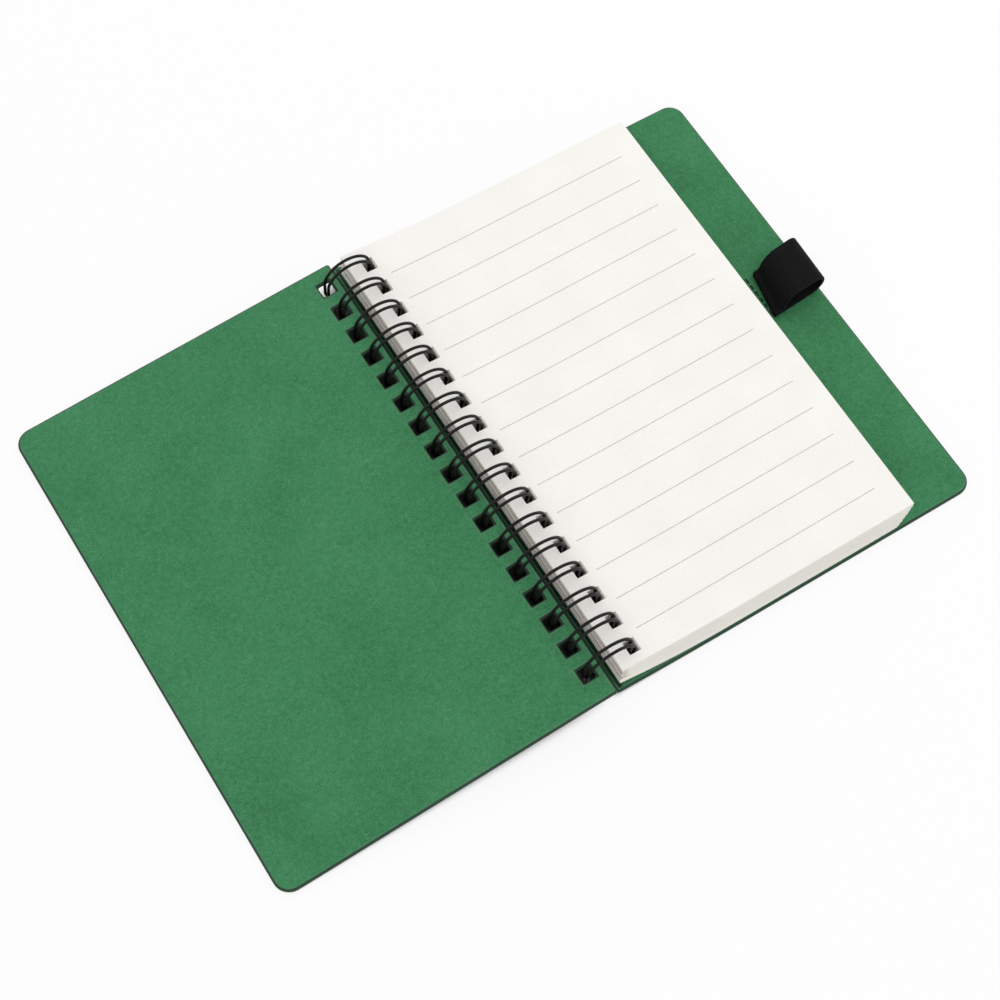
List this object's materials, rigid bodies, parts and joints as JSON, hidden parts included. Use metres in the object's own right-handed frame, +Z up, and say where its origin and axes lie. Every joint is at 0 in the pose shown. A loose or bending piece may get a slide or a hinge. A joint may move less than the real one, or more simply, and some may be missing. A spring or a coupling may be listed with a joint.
{
  "type": "memo pad",
  "caption": "Wire-bound memo pad lying open, with stiff card covers that turn on a twin-loop binding and an elastic pen loop on the wider back cover.",
  "frame": {"origin": "on the table under the middle of the open pad, half way up the page", "axes": "+X from the open front cover across the binding to the pages' fore edge, +Y up the page, +Z up from the table"},
  "size_m": [0.2269, 0.1523, 0.019],
  "materials": {
    "page_paper": "matte",
    "green_board": "matte",
    "black_wire": "satin",
    "black_elastic": "matte",
    "dark_thread": "matte"
  },
  "bodies": {
    "pages": {"page_block": "page_paper", "wire_binding": "black_wire"},
    "front": {"front_cover": "green_board"},
    "back": {"back_cover": "green_board", "pen_loop": "black_elastic", "pen_loop_thread": "dark_thread"}
  },
  "joints": [
    {"name": "front_cover_hinge", "type": "hinge", "parent": "pages", "child": "front", "pos_m": [-0.01044, 0, 0.01206], "axis": [0, 1, 0], "range_deg": [0, 186.13]},
    {"name": "back_cover_hinge", "type": "hinge", "parent": "pages", "child": "back", "pos_m": [-0.0091, 0, 0.006], "axis": [0, 1, 0], "range_deg": [0, 95]}
  ]
}
